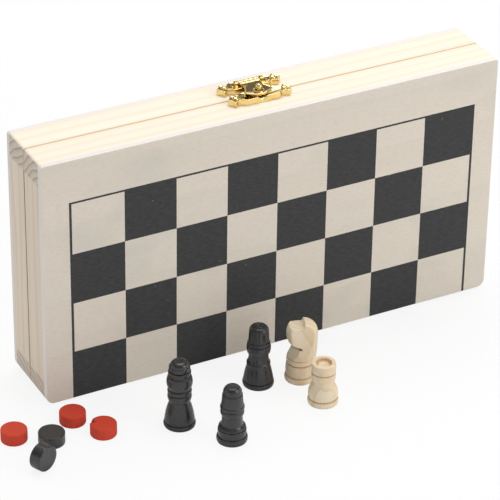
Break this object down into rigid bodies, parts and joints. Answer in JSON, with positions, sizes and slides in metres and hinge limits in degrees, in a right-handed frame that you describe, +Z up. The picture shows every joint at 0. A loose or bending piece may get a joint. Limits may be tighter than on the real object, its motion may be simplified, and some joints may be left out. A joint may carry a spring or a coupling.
{
  "type": "folding games compendium box",
  "caption": "Folding wooden games box with a chequered panel, brass hinges and a hasp clasp, with turned chessmen, draughtsmen and dice.",
  "frame": {"origin": "on the table, under the middle of the footprint of the standing case and its loose pieces", "axes": "+Z up, +X along the hinge edge of the case, +Y from the chequered front panel to the back"},
  "size_m": [0.2704, 0.1068, 0.1367],
  "materials": {
    "pine": "planed and sanded pine with its grain, thin clear lacquer",
    "plywood": "thin pale plywood, matt, the front panel printed with a charcoal chequered pattern",
    "brass": "bright stamped brass",
    "black_paint": "turned wood, satin charcoal-black stain",
    "red_paint": "turned wood, satin tomato-red paint",
    "bare_wood": "turned pale wood, clear lacquer, burnt grooves",
    "ivory": "ivory-coloured plastic with black pips"
  },
  "bodies": {
    "front_half": {"front_panel": "plywood", "front_clasp_rail": "pine", "front_hinge_rail": "pine", "front_left_rail": "pine", "front_right_rail": "pine", "left_hinge_front_leaf": "brass", "left_hinge_pin": "brass", "left_hinge_front_nails": "brass", "right_hinge_front_leaf": "brass", "right_hinge_pin": "brass", "right_hinge_front_nails": "brass", "clasp_front_plate": "brass", "clasp_ball_stud": "brass", "clasp_front_nails": "brass", "stored_black_draughts": "black_paint", "stored_dice": "ivory", "stored_black_bishop": "black_paint", "stored_black_knights": "black_paint", "stored_black_rooks": "black_paint", "stored_black_pawns": "black_paint"},
    "rear_half": {"rear_panel": "plywood", "rear_clasp_rail": "pine", "rear_hinge_rail": "pine", "rear_left_rail": "pine", "rear_right_rail": "pine", "left_hinge_rear_leaf": "brass", "left_hinge_rear_nails": "brass", "right_hinge_rear_leaf": "brass", "right_hinge_rear_nails": "brass", "clasp_rear_plate": "brass", "clasp_rear_nails": "brass", "clasp_pin": "brass", "stored_red_draughts": "red_paint", "stored_natural_king": "red_paint", "stored_natural_queen": "red_paint", "stored_natural_bishops": "red_paint", "stored_natural_knight": "red_paint", "stored_natural_rook": "red_paint", "stored_natural_pawns": "red_paint"},
    "hasp": {"clasp_hasp": "brass"},
    "black_king": {"black_king": "black_paint"},
    "black_queen": {"black_queen": "black_paint"},
    "black_bishop": {"black_bishop": "black_paint"},
    "natural_knight": {"natural_knight": "bare_wood"},
    "natural_rook": {"natural_rook": "bare_wood"},
    "red_draught_left": {"red_draught_left": "red_paint"},
    "red_draught_back": {"red_draught_back": "red_paint"},
    "red_draught_right": {"red_draught_right": "red_paint"},
    "black_draught_flat": {"black_draught_flat": "black_paint"},
    "black_draught_on_edge": {"black_draught_on_edge": "black_paint"}
  },
  "joints": [
    {"name": "case_fold", "type": "hinge", "parent": "front_half", "child": "rear_half", "pos_m": [0.0152, 0.03425, 0.00125], "axis": [-1, 0, 0], "range_deg": [0, 180]},
    {"name": "hasp_lift", "type": "hinge", "parent": "rear_half", "child": "hasp", "pos_m": [0.0135, 0.04165, 0.1328], "axis": [-1, 0, 0], "range_deg": [0, 130]},
    {"name": "black_king_lift", "type": "slide", "parent": "front_half", "child": "black_king", "axis": [0, 0, 1], "range_m": [0, 0.05]},
    {"name": "black_queen_lift", "type": "slide", "parent": "front_half", "child": "black_queen", "axis": [0, 0, 1], "range_m": [0, 0.05]},
    {"name": "black_bishop_lift", "type": "slide", "parent": "front_half", "child": "black_bishop", "axis": [0, 0, 1], "range_m": [0, 0.05]},
    {"name": "natural_knight_lift", "type": "slide", "parent": "front_half", "child": "natural_knight", "axis": [0, 0, 1], "range_m": [0, 0.05]},
    {"name": "natural_rook_lift", "type": "slide", "parent": "front_half", "child": "natural_rook", "axis": [0, 0, 1], "range_m": [0, 0.05]},
    {"name": "red_draught_left_lift", "type": "slide", "parent": "front_half", "child": "red_draught_left", "axis": [0, 0, 1], "range_m": [0, 0.05]},
    {"name": "red_draught_back_lift", "type": "slide", "parent": "front_half", "child": "red_draught_back", "axis": [0, 0, 1], "range_m": [0, 0.05]},
    {"name": "red_draught_right_lift", "type": "slide", "parent": "front_half", "child": "red_draught_right", "axis": [0, 0, 1], "range_m": [0, 0.05]},
    {"name": "black_draught_flat_lift", "type": "slide", "parent": "front_half", "child": "black_draught_flat", "axis": [0, 0, 1], "range_m": [0, 0.05]},
    {"name": "black_draught_on_edge_lift", "type": "slide", "parent": "front_half", "child": "black_draught_on_edge", "axis": [0, 0, 1], "range_m": [0, 0.05]}
  ]
}
